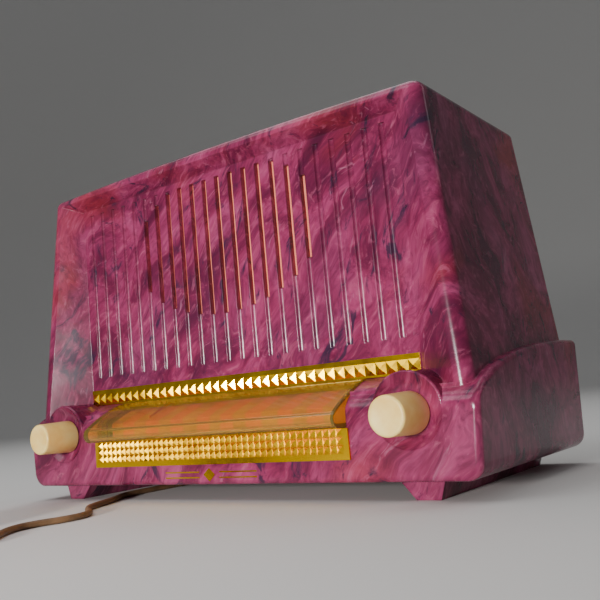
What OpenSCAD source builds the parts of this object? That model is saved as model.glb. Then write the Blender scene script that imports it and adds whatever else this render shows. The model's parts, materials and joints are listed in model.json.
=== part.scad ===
// Table radio in a one-piece marbled moulding.
// X runs to the right seen from the front, Y to the back, Z up. The origin is the middle of the
// footprint at the level of the two runners. A depth, named d, is measured back from the front
// face of the base.

/* [Cabinet] */
// Width of the base across its two shoulders
base_w = 305; // [295:1:315]
// Depth of the base from its front face to its back edge
base_d = 141; // [138:1:146]
// Height of the front face's top edge, where the shoulder begins
shoulder_z = 40.2; // [39:0.2:42]
// Rise of the shoulder's quarter ellipse from front to back
shoulder_rise = 27.7; // [25:0.1:29]
// Width of the upper body just above the shoulder
upper_w_low = 296; // [290:1:298]
// Width of the upper body at its top
upper_w_top = 270.4; // [266:0.2:276]
// Height of the top's edges above the surface that the radio stands on
upper_top = 191; // [189:1:196]
// Rise of the top's middle above its edges
top_crown = 2.2; // [1:0.2:3]
// Wall thickness of the moulding
wall = 3.2; // [2.8:0.1:3.6]
// Height of the two runners
foot_h = 8.7; // [7:0.1:10]

/* [Grille panel] */
// Depth of the recessed panel behind the base's front face
panel_d = 23.1; // [22.6:0.1:23.4]
// Width of the recessed panel
panel_w = 234; // [234:1:236]
// Number of upright flutes
flute_count = 23; // [15:2:23]
// Distance from flute to flute
flute_pitch = 9.9; // [9:0.1:10]
// Width of one flute
flute_w = 3.4; // [2.4:0.1:4]
// Half width of the ellipse inside which the flutes are open slots
slot_a = 69.5; // [60:0.5:72]
// Half height of that ellipse
slot_b = 42.5; // [38:0.5:44]

/* [Trim and dial] */
// Number of pyramids along the upper gold strip
upper_studs = 39; // [30:1:45]
// Number of pyramids along the lower gold strip
lower_studs = 45; // [30:1:50]
// Number of pyramid rows on the lower gold strip
lower_rows = 3; // [2:1:4]
// Half length of the clear dial lens
lens_half = 87; // [80:0.5:87.5]
// Wall thickness of the dial lens
lens_wall = 2.2; // [1.6:0.1:2.4]

/* [Knobs and tuning drive] */
// Distance of each knob's axis from the middle
knob_x = 118.7; // [117:0.1:120]
// Height of the knob axes
knob_z = 38.4; // [38:0.1:39]
// How far the knobs stand out in front of the base
knob_reach = 18; // [14:0.5:20]
// Radius of the tuning drum's cord track
drum_r = 32; // [30:0.5:32]

/* [Mains cord] */
// Diameter of the mains cord
cord_d = 3.2; // [3:0.1:3.2]
// Mean radius of the stored coil
coil_r = 19; // [18:0.5:20]

/* [Hidden] */
$fn = 64;
gap = 0.15;

front = (knob_reach - base_d) / 2;
back = front + base_d;

// ---- cabinet outline ----
shoulder_run = 136;
base_taper = 1.5;
base_edge_r = 3;
base_corner_r = 8;
upper_low_z = 50;
upper_root_z = 46;
upper_front_low = 5.6;
upper_front_top = 13.8;
upper_back_low = 137;
upper_back_top = 131.5;
upper_edge_r = 6;
upper_back_r = 3;
top_edge_r = 4;
panel_t = 3;
panel_top = 181.8;
panel_bottom = 50;
margin_low_slope = 1.31;
margin_top_slope = 1.08;
hood_slope = 0.55;
margin_run = 24.1;
boss_r = 17.8;
boss_z = 39.4;
boss_end = 20.3;
dish_r = 16.8;
dish_floor_r = 10.5;
dish_depth = 4.2;
runner_front = 9;
runner_back = 134;

// ---- grille ----
flute_depth = 1.4;
flute_z0 = 73;
flute_z1 = 178.5;
slot_z = 142.5;

// ---- trim ----
upper_strip_w = 233;
upper_strip_z0 = 55.6;
upper_strip_z1 = 65.1;
upper_stud = upper_strip_w / upper_studs;
upper_stud_z = 59.6;
stud_h = 1.3;
strip_t = 1.1;
lower_strip_w = 176.4;
lower_strip_z0 = 19.4;
lower_border = 2.8;
lower_stud = (lower_strip_w - 2 * lower_border) / lower_studs;
lower_strip_z1 = lower_strip_z0 + lower_border + lower_rows * lower_stud + 0.1;

// ---- dial ----
window_back = 22.8;
window_z = 33.75;
lens_back_z = 55.7;
lens_curve_r = 90;
lens_angle0 = 14;
lens_angle1 = 35;
lens_nose_r = 4.5;
scale_low = [9, 42];
scale_high = [25.6, 49.4];
scale_half = 82;
scale_t = 1.2;
scale_sill = 34.3;

// ---- drive ----
shaft_r = 3.175;
bush_bore_r = 3.22;
drum_x = 100;
drum_z = 76;
string_d = 30.5;
string_r = 0.35;
track_r = drum_r + string_r + 0.1;
spindle_track_r = 2.95;
idler_x = -70;
idler_r = 5;
idler_track_r = idler_r + string_r + 0.1;
string_z = knob_z + spindle_track_r;
idler_z = string_z + idler_track_r;
pointer_travel = PI * track_r;
pointer_x = -pointer_travel / 2;
rail_z = 47.4;
rail_r = 1.2;

// ---- chassis ----
chassis_half = 136;
chassis_front = 34;
chassis_back = 118;
chassis_low = 14;
deck = 54;
sheet = 1.2;
chassis_screw_at = [[-96, 46], [96, 46], [-96, 106], [96, 106]];
tube_d = 102;
tube_at = [-100, -62, -26, 10, 48];
cap_front = 48;
cap_back = 91.5;

// ---- speaker ----
speaker_z = 136.5;
speaker_a = 74;
speaker_b = 48.5;
stud_at = [[-54, 28.9], [54, 28.9], [-54, -28.9], [54, -28.9]];

// ---- back cover ----
cover_d = 126;
cover_t = 2.5;
cover_screw_at = [[-144.3, 26], [144.3, 26], [-129, 180], [129, 180]];

// ---- cord ----
grommet_x = -70;
grommet_z = 38;
grommet_end = 149;
coil_x = -85;
coil_d = -120;
coil_h = 14.2;
coil_half = 5.1;
plug_x = -109;
plug_d = -143;
// Route of the free stretch: x, depth, height. It leaves the strain relief, drops behind the
// radio, runs between the runners and curves away to the coil.
floor_z = cord_d / 2 + 0.05;
cord_route = [
    [-70, 149.1, 38], [-70, 155, 38], [-70, 160, 38], [-70, 166.5, 36.3], [-70, 171.3, 31.5],
    [-70, 173, 25], [-70, 173, 14.65], [-70, 171.3, 8.15], [-70.3, 166.5, 3.4],
    [-70.8, 160, floor_z], [-72, 148, floor_z], [-75, 125, floor_z], [-78.5, 98, floor_z],
    [-81.5, 70, floor_z], [-83, 45, floor_z], [-82.5, 19, floor_z], [-79.1, 8, floor_z],
    [-73.9, -1, floor_z], [-68.8, -10.8, floor_z], [-64.9, -21, floor_z],
    [-59.5, -30.5, floor_z], [-51.2, -37.8, floor_z], [-42.2, -44.3, floor_z],
    [-37.4, -53, floor_z], [-38, -63.6, floor_z], [-41.8, -73.6, floor_z],
    [-42.6, -84, floor_z], [-38.2, -94, floor_z], [-30.5, -103, floor_z],
    [-23.5, -112.5, floor_z], [-21, -124, floor_z], [-25, -135, floor_z],
    [-33.5, -142.6, floor_z], [-45, -146.6, floor_z], [-58, -147.2, floor_z],
    [-68, -145.8, floor_z], [-74, -144.6, floor_z]
];
tail_route = [[-98.5, -143, 11], [-101, -143, 10], [-105, -143, 8.5], [plug_x, plug_d, 8]];

marble = [0.43, 0.14, 0.22];
gold = [0.88, 0.62, 0.08];
ivory = [0.93, 0.86, 0.68];
steel = [0.62, 0.63, 0.65];
card = [0.35, 0.24, 0.15];

// ================= helpers =================

// Moves a child drawn in the plane of x and depth to its place behind the front face
module at(x, d, z) { translate([x, front + d, z]) children(); }

// Round bar along the depth, from d0 to d1
module bar(x, z, r, d0, d1) {
    at(x, d0, z) rotate([-90, 0, 0]) cylinder(r = r, h = d1 - d0);
}

// Upright bar
module post(x, d, z0, z1, r) { at(x, d, z0) cylinder(r = r, h = z1 - z0); }

// Box by its low and high corners in x, depth and height
module block(low, high) { at(low[0], low[1], low[2]) cube(high - low); }

// Solid extruded along the depth from an outline in x and z
module slab(d0, d1) {
    at(0, d1, 0) rotate([90, 0, 0]) linear_extrude(height = d1 - d0) children();
}

// Solid extruded across the radio from an outline in depth and z
module across(half) {
    at(-half, 0, 0) rotate([90, 0, 90]) linear_extrude(height = 2 * half) children();
}

function arc(c, r, a0, a1, n) =
    [for (i = [0:n]) let(a = a0 + (a1 - a0) * i / n) c + r * [cos(a), sin(a)]];

function ellipse(a, b, n = 48) = [for (i = [0:n - 1]) [a * cos(360 * i / n), b * sin(360 * i / n)]];

// Closed solid through a list of rings that all have the same number of points.
// With hollow set, the last ring joins the first and there are no end faces.
module loft(rings, hollow = false) {
    n = len(rings[0]);
    m = len(rings);
    last = hollow ? m - 1 : m - 2;
    sides = [
        for (j = [0:last]) for (i = [0:n - 1])
            let(k = (j + 1) % m, i2 = (i + 1) % n) [j * n + i, j * n + i2, k * n + i2, k * n + i]
    ];
    ends = hollow ? [] : [[for (i = [n - 1:-1:0]) i], [for (i = [0:n - 1]) (m - 1) * n + i]];
    polyhedron(points = [for (r = rings) each r], faces = concat(sides, ends), convexity = 10);
}

// Smooth curve through a list of points, with n steps in each span
function curve_point(p0, p1, p2, p3, t) =
    0.5 * (2 * p1 + (p2 - p0) * t + (2 * p0 - 5 * p1 + 4 * p2 - p3) * t * t
        + (3 * p1 - p0 - 3 * p2 + p3) * t * t * t);
function curve(p, n) = concat(
    [
        for (i = [0:len(p) - 2]) for (s = [0:n - 1])
            curve_point(p[max(i - 1, 0)], p[i], p[i + 1], p[min(i + 2, len(p) - 1)], s / n)
    ],
    [p[len(p) - 1]]
);

function unit(v) = v / norm(v);

// Round tube along a path, with its rings square to the path and no twist between them
module tube_along(path, r, sides, side = [1, 0, 0]) {
    n = len(path);
    along = [for (i = [0:n - 1]) unit(path[min(i + 1, n - 1)] - path[max(i - 1, 0)])];
    across = [
        for (i = 0, u = side; i < n; i = i + 1, u = i < n ? unit(u - (u * along[i]) * along[i]) : u)
            unit(u - (u * along[i]) * along[i])
    ];
    loft([
        for (i = [0:n - 1]) [
            for (k = [0:sides - 1])
                path[i] + r * (cos(360 * k / sides) * across[i]
                    - sin(360 * k / sides) * cross(along[i], across[i]))
        ]
    ]);
}

// ================= cabinet =================

function shoulder(d) =
    d < shoulder_run ? shoulder_z + shoulder_rise * sqrt(1 - pow(1 - d / shoulder_run, 2))
                     : shoulder_z + shoulder_rise;

function edge_inset(d, r) = d < r ? r - sqrt(r * r - (r - d) * (r - d)) : 0;

// Outline of the base in x and z at one depth, inset by the wall thickness t
function base_ring(d, t) = let(
    e = edge_inset(d, base_edge_r) * (t > 0 ? 0 : 1),
    w = base_w / 2 - t - e,
    z0 = foot_h + t + e,
    z1 = shoulder(d) - t,
    rb = base_corner_r - t,
    rt = max(base_edge_r - t, 0.6),
    xb = w - base_taper - rb
) [
    for (p = concat(
        arc([xb, z0 + rb], rb, -90, 0, 5), arc([w - rt, z1 - rt], rt, 0, 90, 4),
        arc([-w + rt, z1 - rt], rt, 90, 180, 4), arc([-xb, z0 + rb], rb, 180, 270, 5)
    )) [p[0], front + d, p[1]]
];

module base_body() {
    steps = 16;
    loft(concat(
        [for (i = [0:steps]) base_ring(shoulder_run * (1 - cos(90 * pow(i / steps, 1.35))), 0)],
        [base_ring(base_d, 0)]
    ));
}

module base_hollow() {
    steps = 10;
    loft(concat(
        [for (i = [0:steps]) base_ring(wall + (shoulder_run - wall) * (1 - cos(90 * i / steps)), wall)],
        [base_ring(base_d + 2, wall)]
    ));
}

function rise(z) = (z - upper_low_z) / (upper_top - upper_low_z);
function upper_half(z) = (upper_w_low + (upper_w_top - upper_w_low) * rise(z)) / 2;
function upper_front(z) = upper_front_low + (upper_front_top - upper_front_low) * rise(z);
function upper_back(z) = upper_back_low + (upper_back_top - upper_back_low) * rise(z);

// Outline of the upper body at height z, moved in by e; k is 1 where the top's crown applies
function upper_ring(z, e, k, deep) = let(
    w = upper_half(z) - e,
    f = upper_front(z) + e,
    b = deep > 0 ? deep : upper_back(z) - e,
    rf = max(upper_edge_r - e, 1),
    rb = deep > 0 ? 1 : max(upper_back_r - e, 1),
    chain_f = concat(
        arc([-w + rf, f + rf], rf, 180, 270, 5),
        [for (i = [-3:3]) [i * (w - rf) / 4, f]],
        arc([w - rf, f + rf], rf, 270, 360, 5)
    ),
    chain_b = concat(
        arc([w - rb, b - rb], rb, 0, 90, 5),
        [for (i = [3:-1:-3]) [i * (w - rb) / 4, b]],
        arc([-w + rb, b - rb], rb, 90, 180, 5)
    )
) [
    for (p = concat(chain_f, chain_b))
        [p[0], front + p[1], z + k * top_crown * (1 - pow(p[0] / (upper_w_top / 2), 2))]
];

// The upper body as rings of height, closed by strips from the front edge to the back edge
module upper_loft(rings) {
    n = len(rings[0]);
    m = len(rings);
    half = n / 2;
    sides = [
        for (j = [0:m - 2]) for (i = [0:n - 1])
            let(i2 = (i + 1) % n) [j * n + i, (j + 1) * n + i, (j + 1) * n + i2, j * n + i2]
    ];
    top = [
        for (i = [0:half - 2])
            let(o = (m - 1) * n) [o + i, o + n - 1 - i, o + n - 2 - i, o + i + 1]
    ];
    polyhedron(
        points = [for (r = rings) each r],
        faces = concat(sides, [[for (i = [0:n - 1]) i]], top), convexity = 10
    );
}

module upper_body() {
    upper_loft(concat(
        [upper_ring(upper_root_z, 0, 0, 0)],
        [
            for (a = [0:18:90])
                upper_ring(upper_top - top_edge_r + top_edge_r * sin(a), top_edge_r * (1 - cos(a)), 1, 0)
        ]
    ));
}

module upper_hollow() {
    upper_loft([
        upper_ring(upper_root_z, wall, 0, base_d + 2),
        upper_ring(upper_top - wall - 1, wall, 1, base_d + 2),
        upper_ring(upper_top - wall, wall + 1, 1, base_d + 2)
    ]);
}

// The splayed recess in front of the panel, grown by t all round
module recess(t) {
    w = panel_w / 2 + t;
    z1 = panel_top + t;
    d0 = panel_d + t;
    corners = [[-1, panel_bottom, 0], [1, panel_bottom, 0], [1, z1, 1], [-1, z1, 1]];
    loft([
        [
            for (p = corners)
                [
                    p[0] * (w + margin_run * (p[2] == 1 ? margin_top_slope : margin_low_slope)),
                    front + d0 - margin_run, p[1] + p[2] * margin_run * hood_slope
                ]
        ],
        [for (p = corners) [p[0] * w, front + d0, p[1]]]
    ]);
}

// Upright outline of the slot at distance x from the middle: a flute length cut by the ellipse
function slot_half(x) = slot_b * sqrt(1 - pow(x / slot_a, 2));

module flutes() {
    for (k = [0:flute_count - 1]) {
        x = (k - (flute_count - 1) / 2) * flute_pitch;
        block([x - flute_w / 2, panel_d - 1, flute_z0], [x + flute_w / 2, panel_d + flute_depth, flute_z1]);
        if (abs(x) < slot_a - flute_pitch / 2)
            block(
                [x - flute_w / 2, panel_d - 1, slot_z - slot_half(x)],
                [x + flute_w / 2, panel_d + panel_t + 1, min(flute_z1, slot_z + slot_half(x))]
            );
    }
}

// One runner, as a bar with splayed sides
module runner(s) {
    slab(runner_front, runner_back) polygon([
        [s * 107, foot_h + 1], [s * 107, foot_h], [s * 114.5, 0], [s * 126.5, 0],
        [s * 129.5, foot_h], [s * 129.5, foot_h + 1]
    ]);
}

module knob_boss(x) { bar(x, boss_z, boss_r, 0, boss_end); }

// What is cut from the boss: the shallow dish, the space behind it and the hole for the shaft
module knob_dish(x) {
    at(x, 0, boss_z) rotate([-90, 0, 0]) rotate_extrude()
        polygon([[0, -1], [dish_r, -1], [dish_r, 0.8], [dish_floor_r, dish_depth], [0, dish_depth]]);
    bar(x, boss_z, boss_r - 3.4, 8, 31);
    bar(x, knob_z, 5.4, 0, 10);
}

module cover_posts() {
    for (p = cover_screw_at) bar(p[0], p[1], 4.6, 112, cover_d - gap);
}

module cabinet() {
    color(marble) difference() {
        union() {
            difference() {
                union() {
                    difference() { upper_body(); recess(0); }
                    base_body();
                    for (s = [-1, 1]) knob_boss(s * knob_x);
                }
                difference() { upper_hollow(); recess(panel_t); }
                base_hollow();
            }
            for (s = [-1, 1]) runner(s);
            for (s = [-1, 1]) bar(s * knob_x, boss_z, boss_r - 0.2, 1, 8);
            intersection() {
                cover_posts();
                union() { upper_body(); base_body(); }
            }
        }
        flutes();
        for (s = [-1, 1]) knob_dish(s * knob_x);
        block([-lens_half - 0.2, -2, window_z], [lens_half + 0.2, window_back, 62]);
        for (p = cover_screw_at) bar(p[0], p[1], 1.4, 114, cover_d + 1);
        for (p = chassis_screw_at) post(p[0], p[1], 0, 20, 2.4);
        for (x = [-80:16:80]) block([x - 2, 54, 4], [x + 2, 100, 16]);
    }
}

module grille_cloth() {
    color([0.78, 0.42, 0.30]) difference() {
        block([-84, panel_d + panel_t + gap, 92], [84, panel_d + panel_t + gap + 0.6, 183]);
        for (p = stud_at) bar(p[0], speaker_z + p[1], 1.8, 20, 40);
    }
}

// ================= gold trim =================

// Rows of pyramids standing forward from depth d, as the meeting of two sets of ridges
module stud_grid(cols, rows, pitch, z0, d) {
    w = cols * pitch;
    h = rows * pitch;
    intersection() {
        at(0, d, z0) linear_extrude(height = h) polygon(concat(
            [[-w / 2, 0.3], [-w / 2, 0]],
            [for (i = [0:cols - 1]) each [[(i + 0.5) * pitch - w / 2, -stud_h], [(i + 1) * pitch - w / 2, 0]]],
            [[w / 2, 0.3]]
        ));
        at(-w / 2, d, z0) rotate([90, 0, 90]) linear_extrude(height = w) polygon(concat(
            [[0.3, 0], [0, 0]],
            [for (i = [0:rows - 1]) each [[-stud_h, (i + 0.5) * pitch], [0, (i + 1) * pitch]]],
            [[0.3, h]]
        ));
    }
}

module upper_trim_strip() {
    face = panel_d - 0.05 - strip_t;
    color(gold) union() {
        block([-upper_strip_w / 2, face, upper_strip_z0], [upper_strip_w / 2, panel_d - 0.05, upper_strip_z1]);
        stud_grid(upper_studs, 1, upper_stud, upper_stud_z - upper_stud / 2, face);
    }
}

module lower_trim_strip() {
    color(gold) union() {
        block([-lower_strip_w / 2, -0.05 - strip_t, lower_strip_z0], [lower_strip_w / 2, -0.05, lower_strip_z1]);
        stud_grid(lower_studs, lower_rows, lower_stud, lower_strip_z0 + lower_border, -0.05 - strip_t);
    }
}

// Two pairs of thin lines with a diamond between them
module front_ornament() {
    color(gold) slab(-0.25, -0.05) {
        polygon([[-4, 14], [0, 17.4], [4, 14], [0, 10.6]]);
        for (s = [-1, 1]) for (z = [12.6, 15.4])
            translate([s * 19.5, z]) square([25, 0.7], center = true);
    }
}

// ================= dial =================

// Outer face of the lens in depth and z from its back edge down to its underside; t moves it in
function lens_outline(t) = let(
    c = [21.6 + lens_curve_r * sin(lens_angle0), lens_back_z - lens_curve_r * cos(lens_angle0)],
    n = c + (lens_curve_r - lens_nose_r) * [-sin(lens_angle1), cos(lens_angle1)],
    r = lens_curve_r - t,
    q = lens_nose_r - t
) concat(
    arc(c, r, 90 + lens_angle0 - (t > 0 ? 1.5 : 0), 90 + lens_angle1, 10),
    arc(n, q, 90 + lens_angle1, 270, 8)
);

// The lens fills the window in the ledge: a bent bar, hollow from behind, with closed ends
module dial_lens() {
    outer = lens_outline(0);
    inner = lens_outline(lens_wall);
    low = outer[len(outer) - 1][1];
    foot = 6.5;
    color([1, 0.80, 0.35, 0.4]) difference() {
        across(lens_half) polygon(concat(outer, [[foot, low], [foot, 44], [21.6, 50.5]]));
        across(lens_half - 2.5) polygon(concat(inner, [[30, low + lens_wall], [30, 60]]));
    }
}

// A strip of sheet from point a to point b in depth and z, with its lower face on that line
function strip(a, b, t) = let(n = unit([a[1] - b[1], b[0] - a[0]])) [a, b, b + n * t, a + n * t];

// The scale plate, bent down at its front edge to just above the sill of the window
module dial_scale() {
    color([0.93, 0.52, 0.12]) across(scale_half) union() {
        polygon(strip(scale_low, scale_high, scale_t));
        polygon([[8.1, scale_sill], [9.3, scale_sill], [9.3, 42.4], [8.51, 43.1], [8.1, 42.6]]);
    }
}

module pointer_rail() {
    color(steel) union() {
        at(-64, 30, rail_z) rotate([0, 90, 0]) cylinder(r = rail_r, h = 128);
        for (s = [-1, 1])
            block([s * 62 - 1, 28, rail_z - 3], [s * 62 + 1, chassis_front - 0.05, rail_z + 3]);
    }
}

module pointer() {
    above = 1.1;
    lift = unit([scale_low[1] - scale_high[1], scale_high[0] - scale_low[0]]);
    a = scale_low + [1, 0.5] + lift * (scale_t + above);
    b = scale_high + [0.2, 0] + lift * (scale_t + above);
    color([0.72, 0.08, 0.06]) difference() {
        union() {
            block([pointer_x - 4, 27.4, string_z + string_r + 0.3], [pointer_x + 4, 32.6, rail_z + 3]);
            at(pointer_x - 0.6, 0, 0) rotate([90, 0, 90]) linear_extrude(height = 1.2)
                polygon([a, b, [29, b[1]], [29, b[1] + 0.8], b + [-0.3, 0.8], a + [-0.3, 0.75]]);
            block([pointer_x - 0.6, 27.4, rail_z + 1.5], [pointer_x + 0.6, 29, b[1] + 0.4]);
        }
        at(pointer_x - 6, 30, rail_z) rotate([0, 90, 0]) cylinder(r = rail_r + 0.06, h = 12);
    }
}

module dial_lamp() {
    color([1, 0.93, 0.7]) at(-30, 22, 27) rotate([0, 90, 0]) rotate_extrude() polygon(concat(
        [[0, 0], [4, 0], [4, 11]], arc([0, 15.5], 5, -45, 90, 8), [[0, 20.5]]
    ));
}

module lamp_socket() {
    color(steel) difference() {
        union() {
            at(-33, 22, 27) rotate([0, 90, 0]) cylinder(r = 5.2, h = 9);
            block([-33, 22, 23], [-31.4, chassis_front - 0.05, 31]);
        }
        at(-30.1, 22, 27) rotate([0, 90, 0]) cylinder(r = 4.1, h = 12);
    }
}

// ================= knobs and tuning drive =================

// Plain tapered knob with a slightly dished face and a blind bore for its shaft
module knob(x) {
    tip = -knob_reach;
    root = dish_depth - 0.6;
    color(ivory) at(x, 0, knob_z) rotate([-90, 0, 0]) rotate_extrude() polygon(concat(
        [[0, tip + 0.7], [3.6, tip + 0.45], [7.2, tip]],
        arc([7.7, tip + 1.2], 1.2, -90, -4, 5),
        [[9.6, root - 0.5], [9.1, root], [bush_bore_r, root], [bush_bore_r, tip + 6], [0, tip + 6]]
    ));
}
module tuning_knob() { knob(knob_x); }
module volume_knob() { knob(-knob_x); }

// Tuning spindle with a waist for the drive string and a groove for its clip
module tuning_shaft() {
    color(steel) at(knob_x, 0, knob_z) rotate([-90, 0, 0]) rotate_extrude() polygon([
        [0, 6.2 - knob_reach], [shaft_r, 6.2 - knob_reach], [shaft_r, 29], [2.5, 29.3], [2.5, 31.7],
        [shaft_r, 32], [shaft_r, 44], [2.6, 44], [2.6, 45], [shaft_r, 45], [shaft_r, 46.5], [0, 46.5]
    ]);
}

module tuning_shaft_clip() {
    color("dimgray") difference() {
        bar(knob_x, knob_z, 5, 44.1, 44.9);
        bar(knob_x, knob_z, 2.62, 43, 46);
        block([knob_x - 1.6, 43, knob_z - 6], [knob_x + 1.6, 46, knob_z]);
    }
}

module tuning_bushing() {
    color("goldenrod") difference() {
        union() {
            bar(knob_x, knob_z, 4.7, 33.2, 43);
            bar(knob_x, knob_z, 7, chassis_front + sheet + 0.05, 37);
        }
        bar(knob_x, knob_z, bush_bore_r, 30, 50);
    }
}

module volume_shaft() {
    color(steel) bar(-knob_x, knob_z, shaft_r, 6.2 - knob_reach, 42);
}

module volume_control() {
    color([0.45, 0.42, 0.36]) difference() {
        union() {
            bar(-knob_x, knob_z, 4.7, 27, 40);
            bar(-knob_x, knob_z, 11.5, chassis_front + sheet + 0.05, 48);
            for (i = [-1:1]) block([-knob_x - 1 + i * 5, 38, knob_z - 17], [-knob_x + 1 + i * 5, 38.8, knob_z - 8]);
        }
        bar(-knob_x, knob_z, bush_bore_r, 26, 43);
    }
}

// The nut that holds the volume control and the ring that holds the tuning bushing
module control_nuts() {
    color(steel) {
        difference() {
            at(-knob_x, 31.4, knob_z) rotate([-90, 0, 0]) cylinder(r = 7.2, h = 2.5, $fn = 6);
            bar(-knob_x, knob_z, 4.75, 30, 36);
        }
    }
}

module tuning_drum() {
    color([0.55, 0.56, 0.58]) difference() {
        at(drum_x, string_d, drum_z) rotate([-90, 0, 0]) union() {
            rotate_extrude() polygon([
                [drum_r - 3.4, -1.9], [drum_r + 1, -1.9], [drum_r, -0.7], [drum_r, 0.7],
                [drum_r + 1, 1.9], [drum_r - 3.4, 1.9]
            ]);
            cylinder(r = 8, h = 8);
            for (i = [0:2]) rotate([0, 0, 120 * i + 30])
                translate([-3.5, 4, -0.8]) cube([7, drum_r - 6, 1.6]);
        }
        bar(drum_x, drum_z, shaft_r + 0.03, 20, 50);
    }
}

// String around the drum, across to the spindle, once round it, and past the idler
module dial_cord() {
    c1 = [drum_x, drum_z];
    c2 = [knob_x, knob_z];
    c3 = [idler_x, idler_z];
    toward = atan2(c2[1] - c1[1], c2[0] - c1[0]);
    cross_a = toward + acos((track_r + spindle_track_r) / norm(c2 - c1));
    back_a = atan2(c1[1] - c3[1], c1[0] - c3[0]);
    open_a = back_a + acos((idler_track_r - track_r) / norm(c1 - c3));
    drum_arc = arc(c1, track_r, cross_a, open_a, 22);
    idler_arc = arc(c3, idler_track_r, open_a, 270, 9);
    spindle_arc = arc(c2, spindle_track_r, 90, cross_a - 180 - 360, 22);
    flat = concat(
        [[pointer_x - 2, string_z]], [for (i = [len(idler_arc) - 1:-1:0]) idler_arc[i]],
        [for (i = [len(drum_arc) - 1:-1:0]) drum_arc[i]],
        [for (i = [len(spindle_arc) - 1:-1:0]) spindle_arc[i]], [[pointer_x + 2, string_z]]
    );
    n = len(flat);
    color([0.2, 0.17, 0.13]) tube_along(
        [for (i = [0:n - 1]) [flat[i][0], front + string_d + 0.5 - i / n, flat[i][1]]], string_r, 6, [0, 1, 0]
    );
}

module idler_pulley() {
    color([0.80, 0.70, 0.40]) at(idler_x, string_d, idler_z) rotate([-90, 0, 0]) rotate_extrude()
        polygon([
            [1.56, -1.8], [idler_r + 1.2, -1.8], [idler_r, -0.8], [idler_r, 0.8],
            [idler_r + 1.2, 1.8], [1.56, 1.8]
        ]);
}

module idler_pin() {
    color(steel) union() {
        bar(idler_x, idler_z, 1.5, 27.6, chassis_front - 0.05);
        bar(idler_x, idler_z, 3, 27.4, 28.4);
        bar(idler_x, idler_z, 3, 32.6, chassis_front - 0.05);
    }
}

// ================= chassis and tuning capacitor =================

module chassis() {
    h = chassis_half;
    color([0.66, 0.67, 0.68]) difference() {
        block([-h, chassis_front, chassis_low], [h, chassis_back, deck]);
        block([-h + sheet, chassis_front + sheet, chassis_low + sheet], [h - sheet, chassis_back - sheet, deck - sheet]);
        block([-h + 60, chassis_front + 18, chassis_low - 1], [h - 60, chassis_back - 18, chassis_low + 2]);
        block([-h + 14, chassis_front + 24, chassis_low - 1], [h - 14, chassis_back - 24, chassis_low + 2]);
        for (x = tube_at) post(x, tube_d, deck - 3, deck + 1, 8.4);
        for (s = [-1, 1]) bar(s * knob_x, knob_z, 4.9, chassis_front - 1, chassis_front + 3);
        for (p = chassis_screw_at) post(p[0], p[1], 10, 18, 2.4);
        post(-108, 66, deck - 3, deck + 1, 9);
    }
}

module chassis_grommets() {
    color([0.12, 0.12, 0.12]) for (p = chassis_screw_at) difference() {
        post(p[0], p[1], foot_h + wall + 0.05, chassis_low - 0.05, 6);
        post(p[0], p[1], 8, 20, 2.5);
    }
}

// Four machine screws up through the floor, each with its nut on the chassis flange
module chassis_screws() {
    color(steel) for (p = chassis_screw_at) {
        post(p[0], p[1], 6.4, foot_h - 0.05, 4);
        post(p[0], p[1], foot_h - 0.05, 20, 2.1);
        at(p[0], p[1], chassis_low + sheet + 0.05) cylinder(r = 4.4, h = 3, $fn = 6);
    }
}

module tuning_capacitor_frame() {
    color([0.72, 0.73, 0.74]) difference() {
        union() {
            block([drum_x - 22, cap_front, deck + 0.1], [drum_x + 22, cap_back, deck + 1.7]);
            block([drum_x - 22, cap_front, deck + 0.1], [drum_x + 22, cap_front + 1.5, 98]);
            block([drum_x - 22, cap_back - 1.5, deck + 0.1], [drum_x + 22, cap_back, 98]);
            block([drum_x + 16, cap_front, 95], [drum_x + 22, cap_back, 98]);
        }
        bar(drum_x, drum_z, shaft_r + 0.05, 40, 100);
    }
}

plate_t = 0.6;
plate_step = 3;
gang_at = [52.6, 71.6];

// Fixed plates of both gangs on two insulated rods
module tuning_stator() {
    color([0.82, 0.82, 0.78]) union() {
        for (g = gang_at) for (i = [0:3])
            difference() {
                block([80.5, g + 1.5 + i * plate_step, 58], [98, g + 1.5 + i * plate_step + plate_t, 94]);
                bar(drum_x, drum_z, 5, 40, 95);
            }
        for (z = [60, 92]) bar(82.5, z, 1.4, cap_front + 1.6, cap_back - 1.6);
    }
}

// Shaft with the two sets of half-round plates, shown fully in mesh
module tuning_rotor() {
    color([0.75, 0.76, 0.78]) union() {
        bar(drum_x, drum_z, shaft_r, 27.5, 94);
        for (g = gang_at) for (i = [0:4])
            slab(g + i * plate_step, g + i * plate_step + plate_t) intersection() {
                translate([drum_x, drum_z]) circle(r = 16.5);
                translate([drum_x - 20, drum_z - 20]) square([21.5, 40]);
            }
    }
}

module filter_capacitor() {
    color([0.78, 0.79, 0.80]) at(-108, 66, deck + 0.1) rotate_extrude() polygon([
        [0, 0], [12.5, 0], [12.5, 1], [12, 1.6], [12, 56], [11, 57.5], [9, 57.5], [9, 56.6], [0, 56.6]
    ]);
}

module if_transformer_cans() {
    color([0.80, 0.81, 0.82]) for (x = [-42, 28]) union() {
        block([x - 10, 70, deck + 0.1], [x + 10, 90, deck + 46]);
        post(x, 80, deck + 46, deck + 48, 3);
    }
}

module output_transformer_core() {
    color([0.28, 0.28, 0.30]) difference() {
        block([-88, 50, deck + 0.1], [-56, 66, deck + 30]);
        block([-82, 48, deck + 6], [-75, 70, deck + 24]);
        block([-69, 48, deck + 6], [-62, 70, deck + 24]);
    }
}

module output_transformer_winding() {
    color([0.55, 0.35, 0.16]) difference() {
        block([-81.8, 45, deck + 6.3], [-62.2, 71, deck + 23.7]);
        block([-75.2, 49.8, deck + 5], [-68.8, 66.2, deck + 25]);
    }
}

// ================= tubes =================

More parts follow.
